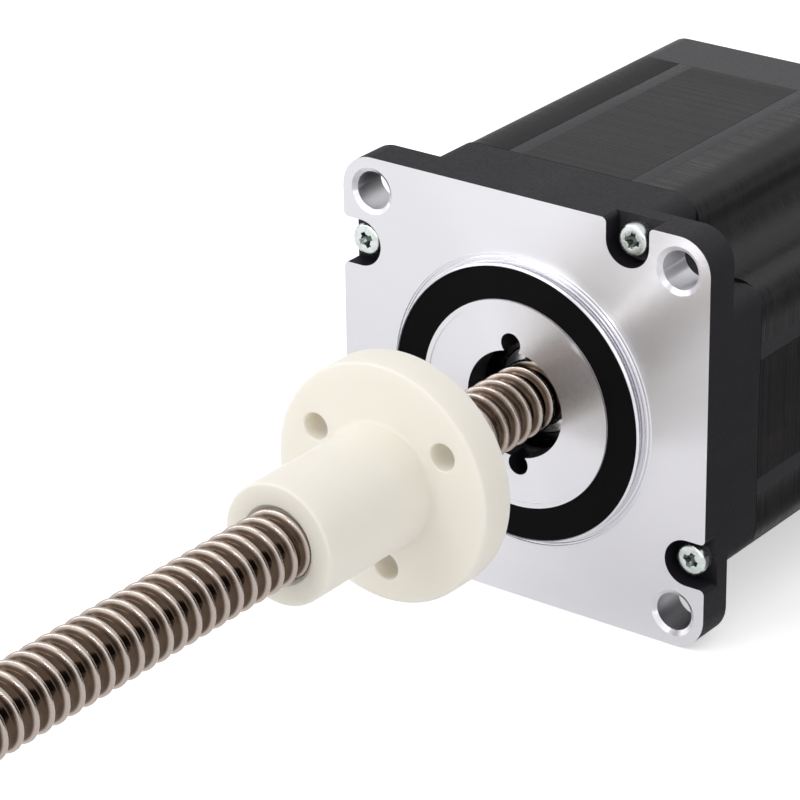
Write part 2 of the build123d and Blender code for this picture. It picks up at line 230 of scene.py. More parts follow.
def place_mm(tree):
    """Object coordinates in millimetres, whole and split in three."""
    where = add(tree, "TexCoord").outputs["Object"]
    scaled = add(tree, "VectorMath", {0: where, "Scale": 1000.0}, operation="SCALE")
    return scaled, add(tree, "SeparateXYZ", {0: scaled}).outputs


def distance_from(tree, x, z):
    """Distance from an axis along Y."""
    x_square = add(tree, "Math", {0: x, 1: x}, operation="MULTIPLY")
    z_square = add(tree, "Math", {0: z, 1: z}, operation="MULTIPLY")
    square = add(tree, "Math", {0: x_square, 1: z_square}, operation="ADD")
    return add(tree, "Math", {0: square}, operation="SQRT")


def band(tree, value, low, high, soft=0.01):
    """1 between low and high, 0 outside, smooth at both ends."""
    rise = add(tree, "MapRange", {0: value, 1: low - soft, 2: low + soft}, **SMOOTH)
    fall = add(tree, "MapRange", {0: value, 1: high - soft, 2: high + soft, 3: 1.0, 4: 0.0}, **SMOOTH)
    return add(tree, "Math", {0: rise, 1: fall}, operation="MULTIPLY")


def across_marks(tree, x, z):
    """The direction across marks turned about an axis along Y, in world space."""
    across = add(tree, "CombineXYZ", {"X": x, "Z": z})
    return add(tree, "VectorTransform", {0: across},
               vector_type="VECTOR", convert_from="OBJECT", convert_to="WORLD")


def paint_inputs(tree, where):
    """Satin black enamel: near-black, a wide soft sheen and the fine peel of a sprayed coat."""
    fine = add(tree, "TexNoise", {"Vector": where, "Scale": 2.4, "Detail": 3.0, "Roughness": 0.6})
    broad = add(tree, "TexNoise", {"Vector": where, "Scale": 0.15})
    base = picked(colours().paint)
    lighter = [channel * 1.5 for channel in base[:3]] + [1.0]
    return {
        "Base Color": add(tree, "Mix", {0: broad, 6: base, 7: lighter}, data_type="RGBA"),
        "Roughness": add(tree, "MapRange", {0: fine, 1: 0.2, 2: 0.8, 3: 0.36, 4: 0.5}, **SMOOTH),
        "Normal": add(tree, "Bump", {"Height": fine, "Distance": 0.02 * MM, "Strength": 0.5}),
    }


def satin_enamel():
    """The rear casting's enamel: a paler grey-black base than the front casting's paint, and a little
    more reflective.
    """
    material, tree = new_material("satin_black_enamel")
    where, _ = place_mm(tree)
    surface(tree, {**paint_inputs(tree, where), "Base Color": linear("#2f2d31"), "IOR": 1.5})
    return material


def bell_finish():
    """Die-cast aluminium: enamelled all over, then face-turned bright on the flange, on the
    pilot's lips and disc, and in the drilled holes. The turned marks run round the shaft, which
    draws the light out into radial streaks."""
    material, tree = new_material("enamelled_die_cast_aluminium")
    where, axes = place_mm(tree)
    x, y, z = axes["X"], axes["Y"], axes["Z"]
    radius = distance_from(tree, x, z)
    normal = add(tree, "TexCoord").outputs["Normal"]
    normal_y = add(tree, "SeparateXYZ", {0: normal}).outputs["Y"]
    forward = add(tree, "Math", {0: normal_y, 1: -1.0}, operation="MULTIPLY")

    # The drilled holes and their countersinks
    side = add(tree, "Math", {0: x}, operation="ABSOLUTE")
    height = add(tree, "Math", {0: z}, operation="ABSOLUTE")
    hole_x = add(tree, "Math", {0: side, 1: FACE_BOLTS["spacing_x_mm"] / 2}, operation="SUBTRACT")
    hole_z = add(tree, "Math", {0: height, 1: FACE_BOLTS["spacing_y_mm"] / 2}, operation="SUBTRACT")
    near_hole = add(tree, "MapRange", {
        0: distance_from(tree, hole_x, hole_z),
        1: COUNTERSINK_R - 0.02, 2: COUNTERSINK_R + 0.02, 3: 1.0, 4: 0.0,
    }, **SMOOTH)
    not_behind = add(tree, "MapRange", {0: forward, 1: -0.5, 2: -0.4}, **SMOOTH)
    in_hole = add(tree, "Math", {0: near_hole, 1: not_behind}, operation="MULTIPLY")

    # The flange's face
    square_on = add(tree, "MapRange", {0: forward, 1: 0.992, 2: 0.998}, **SMOOTH)
    in_plane = add(tree, "MapRange", {0: y, 1: 0.01, 2: 0.03, 3: 1.0, 4: 0.0}, **SMOOTH)
    flat = add(tree, "Math", {0: square_on, 1: in_plane}, operation="MULTIPLY")
    past_relief = add(tree, "MapRange", {0: radius, 1: RELIEF_R - 0.02, 2: RELIEF_R}, **SMOOTH)
    face = add(tree, "Math", {0: flat, 1: past_relief}, operation="MULTIPLY")
    cut = add(tree, "Math", {0: face, 1: in_hole}, operation="MAXIMUM")

    # The pilot's lips, rim and disc, and the matt groove between them
    lips = band(tree, radius, LIP_R, RELIEF_R, 0.02)
    rim = band(tree, radius, RIM_R - 0.05, RING_R + 0.02, 0.02)
    inside = band(tree, radius, BORE_R - 0.02, RIM_R + 0.02, 0.01)
    on_disc = add(tree, "MapRange", {
        0: y, 1: DISC_Y - 0.01, 2: DISC_Y + 0.01, 3: 1.0, 4: 0.0,
    }, **SMOOTH)
    disc = add(tree, "Math", {0: inside, 1: on_disc}, operation="MULTIPLY")
    rim_or_disc = add(tree, "Math", {0: rim, 1: disc}, operation="MAXIMUM")
    pilot = add(tree, "Math", {0: lips, 1: rim_or_disc}, operation="MAXIMUM")
    in_front = add(tree, "MapRange", {0: y, 1: 0.4, 2: 0.5, 3: 1.0, 4: 0.0}, **SMOOTH)
    turned_pilot = add(tree, "Math", {0: pilot, 1: in_front}, operation="MULTIPLY")
    bare = add(tree, "Math", {0: cut, 1: turned_pilot}, operation="MAXIMUM")
    groove = band(tree, radius, RING_R, LIP_R, 0.02)
    matt = add(tree, "Math", {0: groove, 1: in_front}, operation="MULTIPLY")

    # The tools' marks: rings on the face, rings up the holes and ridges on the lips
    marks = add(tree, "TexNoise", {
        "W": radius, "Scale": 30.0, "Detail": 1.0, "Roughness": 0.6,
    }, noise_dimensions="1D")
    drill = add(tree, "TexNoise", {
        "W": y, "Scale": 5.0, "Detail": 2.0, "Roughness": 0.6,
    }, noise_dimensions="1D")
    mark_height = add(tree, "Mix", {0: in_hole, 2: marks, 3: drill})
    marked = add(tree, "Bump", {"Height": mark_height, "Distance": 0.006 * MM})
    phase = add(tree, "Math", {0: radius, 1: tau / RIDGE_STEP}, operation="MULTIPLY")
    wave = add(tree, "Math", {0: phase}, operation="SINE")
    ridges = add(tree, "Math", {0: wave, 1: lips}, operation="MULTIPLY")
    metal_normal = add(tree, "Bump", {"Height": ridges, "Distance": 0.03 * MM, "Normal": marked})

    bright = picked(colours().machined)
    dull = [channel * 0.93 for channel in bright[:3]] + [1.0]
    metal_colour = add(tree, "Mix", {0: marks, 6: bright, 7: dull}, data_type="RGBA")
    face_rough = add(tree, "Mix", {0: in_hole, 2: 0.26, 3: 0.34})
    metal_rough = add(tree, "Mix", {0: lips, 2: face_rough, 3: 0.14})
    paint = paint_inputs(tree, where)
    matt_black = linear("#0d0c0d")
    coat_colour = add(tree, "Mix", {0: matt, 6: paint["Base Color"], 7: matt_black}, data_type="RGBA")
    coat_rough = add(tree, "Mix", {0: matt, 2: paint["Roughness"], 3: 0.6})
    across_x = add(tree, "Mix", {0: in_hole, 2: x, 3: hole_x})
    across_z = add(tree, "Mix", {0: in_hole, 2: z, 3: hole_z})
    surface(tree, {
        "Base Color": add(tree, "Mix", {0: bare, 6: coat_colour, 7: metal_colour}, data_type="RGBA"),
        "Metallic": bare,
        "Roughness": add(tree, "Mix", {0: bare, 2: coat_rough, 3: metal_rough}),
        "IOR": add(tree, "Mix", {0: matt, 2: 1.4, 3: 1.15}),
        "Anisotropic": 1.0,
        "Normal": add(tree, "Mix", {0: bare, 4: paint["Normal"], 5: metal_normal}, data_type="VECTOR"),
        "Tangent": across_marks(tree, across_x, across_z),
    })
    return material


def lamination_finish(pitch):
    """Stamped electrical steel sheets under black enamel, each sheet a little darker or paler at
    random.
    Broad patches are painted toward green-brown as a painted glint of the steel under the coat."""
    material, tree = new_material("enamelled_electrical_steel")
    where, axes = place_mm(tree)
    along = add(tree, "Math", {0: axes["Y"], 1: STACK_LOW.y / MM}, operation="SUBTRACT")
    count = add(tree, "Math", {0: along, 1: pitch / MM}, operation="DIVIDE")
    sheet = add(tree, "Math", {0: count}, operation="FLOOR")
    shade = add(tree, "TexWhiteNoise", {"W": sheet}, noise_dimensions="1D")
    patch = add(tree, "TexNoise", {"Vector": where, "Scale": 0.12, "Detail": 3.0, "Roughness": 0.6})
    fine = add(tree, "TexNoise", {"Vector": where, "Scale": 3.0, "Detail": 3.0, "Roughness": 0.6})
    dark, pale, steel = linear("#171517"), linear("#232123"), linear("#37332b")
    coat = add(tree, "Mix", {0: shade, 6: dark, 7: pale}, data_type="RGBA")
    # Broad noise patches painted toward the green-brown steel colour: a painted glint.
    glint_patch = add(tree, "MapRange", {0: patch, 1: 0.5, 2: 0.8}, **SMOOTH)
    painted_glint = add(tree, "Math", {0: glint_patch, 1: 0.35}, operation="MULTIPLY")
    surface(tree, {
        "Base Color": add(tree, "Mix", {0: painted_glint, 6: coat, 7: steel}, data_type="RGBA"),
        "Roughness": add(tree, "Mix", {0: shade, 2: 0.36, 3: 0.48}),
        "IOR": 1.4,
        "Normal": add(tree, "Bump", {"Height": fine, "Distance": 0.015 * MM, "Strength": 0.5}),
    })
    return material


def weld_finish():
    """Weld run ground flush and painted over: smoother and a little paler than the sheets."""
    material, tree = new_material("enamelled_weld_run")
    where, _ = place_mm(tree)
    fine = add(tree, "TexNoise", {"Vector": where, "Scale": 1.6, "Detail": 3.0, "Roughness": 0.6})
    dark, pale = linear("#2a282c"), linear("#39373b")
    surface(tree, {
        "Base Color": add(tree, "Mix", {0: fine, 6: dark, 7: pale}, data_type="RGBA"),
        "Roughness": add(tree, "MapRange", {0: fine, 1: 0.3, 2: 0.7, 3: 0.42, 4: 0.55}, **SMOOTH),
        "IOR": 1.45,
        "Normal": add(tree, "Bump", {"Height": fine, "Distance": 0.03 * MM, "Strength": 0.6}),
    })
    return material


def screw_finish():
    """Rolled stainless thread: burnished bright crests, and the groove below them painted dark brown as
    painted shade.
    """
    material, tree = new_material("rolled_stainless_steel")
    where, axes = place_mm(tree)
    radius = distance_from(tree, axes["X"], axes["Z"])
    crest = SCREW_R / MM
    threaded = band(tree, axes["Y"], (SCREW_LOW.y + TIP_CHAMFER) / MM, THREAD_END / MM, 0.1)
    # Below the crests the groove is painted dark brown: painted shade in the thread's recess.
    below_crest = add(tree, "MapRange", {
        0: radius, 1: crest - 0.62, 2: crest - 0.22, 3: 1.0, 4: 0.0,
    }, **SMOOTH)
    deep = add(tree, "Math", {0: threaded, 1: below_crest}, operation="MULTIPLY")
    shade_mottle = add(tree, "TexNoise", {"Vector": where, "Scale": 0.5, "Detail": 3.0, "Roughness": 0.6})
    grain = add(tree, "TexNoise", {"Vector": where, "Scale": 4.0, "Detail": 3.0, "Roughness": 0.6})
    # The groove's two browns are painted shade, mottled by noise.
    steel, painted_shade, paler_painted_shade = picked(colours().stainless), picked(colours().groove), linear("#5f4f43")
    groove = add(tree, "Mix", {0: shade_mottle, 6: painted_shade, 7: paler_painted_shade}, data_type="RGBA")
    crest_rough = add(tree, "MapRange", {0: grain, 1: 0.3, 2: 0.7, 3: 0.2, 4: 0.3}, **SMOOTH)
    surface(tree, {
        "Base Color": add(tree, "Mix", {0: deep, 6: steel, 7: groove}, data_type="RGBA"),
        "Metallic": 1.0,
        "Roughness": add(tree, "Mix", {0: deep, 2: crest_rough, 3: 0.2}),
        "Normal": add(tree, "Bump", {"Height": grain, "Distance": 0.003 * MM, "Strength": 0.5}),
    })
    return material


def acetal_finish():
    """Ivory acetal: waxy, slightly see-through, with a soft sheen and faint tool marks."""
    material, tree = new_material("moulded_ivory_acetal")
    where, axes = place_mm(tree)
    radius = distance_from(tree, axes["X"], axes["Z"])
    marks = add(tree, "TexNoise", {
        "W": radius, "Scale": 3.0, "Detail": 3.0, "Roughness": 0.6,
    }, noise_dimensions="1D")
    blotch = add(tree, "TexNoise", {"Vector": where, "Scale": 0.12})
    plain, warm = picked(colours().acetal), linear("#f3eee2")
    surface(tree, {
        "Base Color": add(tree, "Mix", {0: blotch, 6: plain, 7: warm}, data_type="RGBA"),
        "Roughness": add(tree, "MapRange", {0: marks, 1: 0.3, 2: 0.7, 3: 0.36, 4: 0.46}, **SMOOTH),
        "IOR": 1.48,
        "Subsurface Weight": 0.55,
        "Subsurface Radius": (1.0, 0.92, 0.78),
        "Subsurface Scale": 2.2 * MM,
        "Normal": add(tree, "Bump", {"Height": marks, "Distance": 0.006 * MM, "Strength": 0.4}),
    })
    return material


def zinc_finish():
    """Bright zinc plate, clouded blue-green by its passivation."""
    material, tree = new_material("bright_zinc_plate")
    where, _ = place_mm(tree)
    cloud = add(tree, "TexNoise", {"Vector": where, "Scale": 0.9, "Detail": 3.0, "Roughness": 0.6})
    fine = add(tree, "TexNoise", {"Vector": where, "Scale": 8.0})
    clouded = add(tree, "MapRange", {0: cloud, 1: 0.4, 2: 0.7}, **SMOOTH)
    plain, passivated = picked(colours().zinc), linear("#c6d3ca")
    surface(tree, {
        "Base Color": add(tree, "Mix", {0: clouded, 6: plain, 7: passivated}, data_type="RGBA"),
        "Metallic": 1.0,
        "Roughness": add(tree, "MapRange", {0: fine, 1: 0.3, 2: 0.7, 3: 0.18, 4: 0.3}, **SMOOTH),
        "Normal": add(tree, "Bump", {"Height": fine, "Distance": 0.004 * MM, "Strength": 0.5}),
    })
    return material


def metal_finish(name, code, roughness):
    """A plain metal of the small and inner pieces, with a fine ground grain."""
    material, tree = new_material(name)
    where, _ = place_mm(tree)
    fine = add(tree, "TexNoise", {"Vector": where, "Scale": 6.0, "Detail": 3.0, "Roughness": 0.6})
    low, high = roughness * 0.8, roughness * 1.2
    surface(tree, {
        "Base Color": linear(code), "Metallic": 1.0,
        "Roughness": add(tree, "MapRange", {0: fine, 1: 0.3, 2: 0.7, 3: low, 4: high}, **SMOOTH),
        "Normal": add(tree, "Bump", {"Height": fine, "Distance": 0.004 * MM, "Strength": 0.5}),
    })
    return material


def plastic_finish(name, code, roughness, ior):
    """Moulded plastic or rubber with a faint grain."""
    material, tree = new_material(name)
    where, _ = place_mm(tree)
    fine = add(tree, "TexNoise", {"Vector": where, "Scale": 3.0, "Detail": 3.0, "Roughness": 0.6})
    low, high = roughness * 0.85, roughness * 1.15
    surface(tree, {
        "Base Color": linear(code), "IOR": ior,
        "Roughness": add(tree, "MapRange", {0: fine, 1: 0.3, 2: 0.7, 3: low, 4: high}, **SMOOTH),
        "Normal": add(tree, "Bump", {"Height": fine, "Distance": 0.01 * MM, "Strength": 0.5}),
    })
    return material


def winding_finish():
    """Enamelled copper wire laid in even turns, with the light gloss of its lacquer."""
    material, tree = new_material("enamelled_copper_wire")
    _, axes = place_mm(tree)
    radius = distance_from(tree, axes["X"], axes["Z"])
    phase = add(tree, "Math", {0: radius, 1: tau / WIRE_STEP}, operation="MULTIPLY")
    turns = add(tree, "Math", {0: phase}, operation="SINE")
    surface(tree, {
        "Base Color": linear("#a4512a"), "Metallic": 1.0, "Roughness": 0.3, "Coat Weight": 0.6,
        "Normal": add(tree, "Bump", {"Height": turns, "Distance": 0.1 * MM, "Strength": 0.8}),
    })
    return material


# Modelling

def only(piece):
    """Selects one object and nothing else, in object mode."""
    if bpy.context.object and bpy.context.object.mode != "OBJECT":
        bpy.ops.object.mode_set(mode="OBJECT")
    bpy.ops.object.select_all(action="DESELECT")
    piece.select_set(True)
    bpy.context.view_layer.objects.active = piece


def edit(piece):
    """Opens a piece with all of it selected."""
    only(piece)
    bpy.ops.object.mode_set(mode="EDIT")
    bpy.ops.mesh.select_mode(type="VERT")
    bpy.ops.mesh.select_all(action="SELECT")


def close_edit():
    bpy.ops.object.mode_set(mode="OBJECT")


def face_outwards():
    """Turns every face of the open piece outwards and closes it."""
    bpy.ops.mesh.select_all(action="SELECT")
    bpy.ops.mesh.normals_make_consistent(inside=False)
    close_edit()


def edit_some(piece, kind, elements, chosen):
    """Opens a piece with those vertices or faces selected for which chosen is true."""
    only(piece)
    bpy.ops.object.mode_set(mode="EDIT")
    bpy.ops.mesh.select_mode(type=kind)
    bpy.ops.mesh.select_all(action="DESELECT")
    bpy.ops.object.mode_set(mode="OBJECT")
    for element in elements:
        element.select = chosen(element)
    bpy.ops.object.mode_set(mode="EDIT")


def edit_points(piece, chosen):
    edit_some(piece, "VERT", piece.data.vertices, chosen)


def edit_faces(piece, chosen):
    edit_some(piece, "FACE", piece.data.polygons, chosen)


def named(name):
    piece = bpy.context.object
    piece.name = name
    piece.data.name = name
    return piece


def drawn(name, points):
    """A line through points of radius and y, drawn by extruding one vertex."""
    bpy.ops.object.select_all(action="DESELECT")
    bpy.ops.mesh.primitive_plane_add(size=MM)
    piece = named(name)
    edit(piece)
    bpy.ops.mesh.merge(type="CENTER")
    bpy.ops.transform.translate(value=(*points[0], 0))
    for (x0, y0), (x1, y1) in zip(points, points[1:]):
        bpy.ops.mesh.extrude_region_move(TRANSFORM_OT_translate={"value": (x1 - x0, y1 - y0, 0)})
    close_edit()
    return piece


def turned(name, points, steps=96):
    """A closed body turned about the shaft from a drawn line."""
    piece = drawn(name, points)
    edit(piece)
    bpy.ops.mesh.spin(steps=steps, angle=tau, center=(0, 0, 0), axis=(0, 1, 0))
    bpy.ops.mesh.select_all(action="SELECT")
    bpy.ops.mesh.remove_doubles(threshold=MERGE)
    face_outwards()
    return piece


def arc(centre_x, centre_y, radius, start, end, count=6):
    """Points of a round corner, angles in degrees from +X towards +Y."""
    angles = [radians(start + (end - start) * k / count) for k in range(count + 1)]
    return [(centre_x + radius * cos(a), centre_y + radius * sin(a)) for a in angles]


def apply_modifier(piece, kind, **settings):
    only(piece)
    modifier = piece.modifiers.new("shape", kind)
    for name, value in settings.items():
        setattr(modifier, name, value)
    bpy.ops.object.modifier_apply(modifier=modifier.name)


def combine(piece, other, operation):
    """A boolean with another piece, which is then deleted."""
    apply_modifier(piece, "BOOLEAN", object=other, operation=operation, solver="EXACT")
    bpy.data.objects.remove(other)


def moved(piece, matrix):
    """Moves the mesh and leaves the object at the origin."""
    piece.data.transform(matrix)


def repeated(piece, name, count):
    """The piece and its copies, each with its own mesh, named with a number from 1."""
    pieces = [piece]
    for k in range(2, count + 1):
        twin = piece.copy()
        twin.data = piece.data.copy()
        twin.name = twin.data.name = f"{name}_{k}"
        bpy.context.collection.objects.link(twin)
        pieces.append(twin)
    return pieces


def break_edges(piece, segments):
    """A small round on every sharp edge."""
    apply_modifier(piece, "BEVEL", width=SHARP_BREAK, segments=segments,
                   limit_method="ANGLE", angle_limit=radians(40))


def smooth(piece, degrees=35):
    only(piece)
    bpy.ops.object.shade_smooth_by_angle(angle=radians(degrees))


def dress(piece, material, body, slot, *nodes):
    """Gives a finished piece its material and body, and hides the nodes that it stands for. The slot is
    not used.
    """
    piece.data.materials.clear()
    piece.data.materials.append(material)
    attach(piece, body)
    if nodes:
        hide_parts(*nodes)


def repaint(material, *nodes):
    for name in nodes:
        for slot in frame["nodes"][name].material_slots:
            slot.material = material


def threaded_rod(name, major_r, depth, low, high, steps):
    """A right-hand thread between two heights. A line of one pitch, groove to groove, is screwed
    up the axis and cut off square at both ends."""
    pitch = sizes().thread_pitch
    root_r = major_r - depth
    crest = CREST_SHARE * pitch
    flank = FLANK_SHARE * pitch
    half = [
        (root_r, pitch / 2),
        (root_r, crest + flank + 0.06 * pitch),
        (root_r + 0.1 * depth, crest + flank),
        (major_r - 0.22 * depth, crest + 0.35 * flank),
        (major_r - 0.05 * depth, crest),
        (major_r, 0.4 * crest),
    ]
    turns = int((high - low) / pitch) + 4
    first = CREST_AT + pitch * int((low - CREST_AT) / pitch - 2)
    line = [(r, first - y) for r, y in half] + [(r, first + y) for r, y in reversed(half)]
    piece = drawn(name, line)
    apply_modifier(piece, "SCREW", axis="Y", angle=tau, screw_offset=pitch, iterations=turns,
                   steps=steps, render_steps=steps, use_merge_vertices=True, merge_threshold=MERGE)
    edit(piece)
    bpy.ops.mesh.remove_doubles(threshold=MERGE)
    for y, side in ((low, "clear_inner"), (high, "clear_outer")):
        bpy.ops.mesh.select_all(action="SELECT")
        bpy.ops.mesh.bisect(plane_co=(0, y, 0), plane_no=(0, 1, 0), threshold=MERGE,
                            use_fill=True, **{side: True})
    face_outwards()
    return piece


class MOTOR_OT_lead_screw(bpy.types.Operator):
    """Lead screw with its rolled thread and the plain shaft that carries the rotor"""

    bl_idname = "motor.lead_screw"
    bl_label = "Lead screw"

    def execute(self, context):
        tip = SCREW_LOW.y
        rotor_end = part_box("rotor_cup_rear")[1].y
        end = SCREW_HIGH.y
        beyond = SCREW_R + MM
        depth = sizes().thread_depth
        screw = threaded_rod("lead_screw_thread", SCREW_R, depth, tip - MM, THREAD_END + MM, 56)
        envelope = turned("screw_envelope", [
            (0, tip + CENTRE_HOLE_DEPTH),
            (CENTRE_HOLE_R, tip + CENTRE_HOLE_DEPTH - CENTRE_HOLE_R),
            (CENTRE_HOLE_R, tip),
            (SCREW_R - TIP_CHAMFER, tip),
            (beyond, tip + TIP_CHAMFER + MM),
            (beyond, THREAD_END),
            (0, THREAD_END),
        ], 61)
        combine(screw, envelope, "INTERSECT")
        shaft = turned("screw_shaft", [
            (0, THREAD_END - SHAFT_OVERLAP),
            (SHAFT_R, THREAD_END - SHAFT_OVERLAP),
            (SHAFT_R, rotor_end),
            (REAR_SHAFT_R, rotor_end),
            (REAR_SHAFT_R, end - EDGE_BREAK),
            (REAR_SHAFT_R - EDGE_BREAK, end),
            (0, end),
        ], 59)
        only(screw)
        shaft.select_set(True)
        bpy.ops.object.join()
        smooth(screw, 40)
        dress(screw, screw_finish(), "rotor", "stainless_steel", "lead_screw")
        return {"FINISHED"}


class MOTOR_OT_flange_nut(bpy.types.Operator):
    """Flanged acetal nut with a cut internal thread and three bolt holes"""

    bl_idname = "motor.flange_nut"
    bl_label = "Flanged nut"

    def execute(self, context):
        flange_r = NUT_HIGH.x
        back, front, end = NUT_FLANGE_BACK, NUT_FLANGE_FRONT, NUT_LOW.y
        edge, root = NUT_EDGE_ROUND, NUT_ROOT_ROUND
        line = [(0, back)]
        line += arc(flange_r - edge, back - edge, edge, 90, 0)
        line += arc(flange_r - edge, front + edge, edge, 0, -90)
        line += arc(NUT_BARREL_R + root, front - root, root, 90, 180)
        line += arc(NUT_BARREL_R - edge, end + edge, edge, 0, -90)
        line += [(0, end)]
        nut = turned("flange_nut_body", line, 128)
        bore_r = SCREW_R + sizes().thread_fit
        cutter = threaded_rod("nut_thread", bore_r, sizes().thread_depth, end - MM, back + MM, 47)
        combine(nut, cutter, "DIFFERENCE")
        for y, way in ((end, 1), (back, -1)):
            mouth = turned("nut_mouth", [
                (0, y - way * MM), (bore_r + NUT_MOUTH, y - way * MM), (bore_r + NUT_MOUTH, y),
                (bore_r - NUT_MOUTH, y + 2 * way * NUT_MOUTH), (0, y + 2 * way * NUT_MOUTH),
            ], 61)
            combine(nut, mouth, "DIFFERENCE")
        hole_r, rim = NUT_BOLTS["hole_r_mm"] * MM, NUT_HOLE_BREAK
        for k in range(NUT_BOLTS["count"]):
            angle = NUT_HOLE_ANGLE + tau / NUT_BOLTS["count"] * k
            hole = turned("nut_hole", [
                (0, front - MM), (hole_r + MM + rim, front - MM), (hole_r, front + rim),
                (hole_r, back - rim), (hole_r + MM + rim, back + MM), (0, back + MM),
            ], 48)
            reach = NUT_BOLTS["pcd_mm"] / 2 * MM
            moved(hole, Matrix.Translation((reach * cos(angle), 0, reach * sin(angle))))
            combine(nut, hole, "DIFFERENCE")
        smooth(nut, 30)
        dress(nut, acetal_finish(), "nut", "ivory_acetal", "flange_nut")
        return {"FINISHED"}


def tie_places():
    """Position and turn of each tie screw, a quarter turn from one to the next."""
    first = Matrix.Translation((TIE_SIDE, 0, TIE_RADIAL))
    return [Matrix.Rotation(-tau / 4 * k, 4, "Y") @ first for k in range(4)]


class MOTOR_OT_tie_screws(bpy.types.Operator):
    """Four cross-recessed tie screws and their split spring washers"""

    bl_idname = "motor.tie_screws"
    bl_label = "Tie screws"

    def execute(self, context):
        low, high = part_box("tie_screws")
        top = low.y
        base = top + TIE_HEAD_HEIGHT
        screw = turned("tie_screw_1", [
            (0, top),
            (TIE_HEAD_R - 1.5 * HEAD_ROUND, top + HEAD_CROWN),
            *arc(TIE_HEAD_R - HEAD_ROUND, top + 1.1 * HEAD_ROUND, HEAD_ROUND, -75, 0, 5),
            (TIE_HEAD_R, base),
            (TIE_SHANK_R, base),
            (TIE_SHANK_R, high.y),
            (0, high.y),
        ], 48)
        for quarter in range(2):
            bpy.ops.object.select_all(action="DESELECT")
            bpy.ops.mesh.primitive_cube_add(size=1)
            wing = named("recess_wing")
            moved(wing, Matrix.Diagonal((RECESS_LENGTH, 2 * RECESS_DEPTH, RECESS_WIDTH, 1)))
            moved(wing, Matrix.Translation((0, top, 0)))
            edit_faces(wing, lambda face: face.normal.y > 0.9)
            bpy.ops.transform.resize(value=(0.5, 1, 0.7))
            close_edit()
            moved(wing, Matrix.Rotation(tau / 4 * quarter, 4, "Y"))
            combine(screw, wing, "DIFFERENCE")
        outside = top - 0.2 * MM
        dimple = turned("recess_centre", [
            (0, outside),
            (RECESS_WIDTH, outside),
            (RECESS_WIDTH / 2, top + RECESS_DEPTH),
            (0, top + 1.2 * RECESS_DEPTH),
        ], 24)
        combine(screw, dimple, "DIFFERENCE")
        break_edges(screw, 2)
        smooth(screw, 35)
        inner, back = TIE_SHANK_R + WASHER_PLAY, base + WASHER_THICK
        washer = drawn("tie_washer_1", [
            (inner, base), (WASHER_R, base), (WASHER_R, back), (inner, back), (inner, base),
        ])
        apply_modifier(washer, "SCREW", axis="Y", angle=WASHER_SWEEP, screw_offset=WASHER_RISE,
                       iterations=1, steps=40, render_steps=40)
        edit(washer)
        bpy.ops.mesh.remove_doubles(threshold=MERGE)
        bpy.ops.mesh.select_all(action="SELECT")
        bpy.ops.mesh.fill_holes(sides=4)
        face_outwards()
        smooth(washer, 40)
        # The recess faces get a darker material: painted shade in the cross recess.
        recess = [
            face.index for face in screw.data.polygons
            if top + 0.25 * MM < face.center.y < top + 1.3 * RECESS_DEPTH
            and hypot(face.center.x, face.center.z) < RECESS_LENGTH / 2
        ]
        zinc = zinc_finish()
        # Dark grey-green metal for the recess faces: painted shade, not oil.
        painted_shade = metal_finish("oiled_zinc_recess", "#5d6660", 0.35)
        screws, washers = repeated(screw, "tie_screw", 4), repeated(washer, "tie_washer", 4)
        for place, turn, one_screw, one_washer in zip(tie_places(), TIE_TURNS, screws, washers):
            moved(one_screw, place @ Matrix.Rotation(turn, 4, "Y"))
            moved(one_washer, place @ Matrix.Rotation(2 * turn + 1, 4, "Y"))
            dress(one_screw, zinc, "housing", "zinc_steel", "tie_screws")
            one_screw.data.materials.append(painted_shade)
            for index in recess:
                one_screw.data.polygons[index].material_index = 1
            dress(one_washer, zinc, "housing", "zinc_steel", "tie_screw_washers")
        return {"FINISHED"}


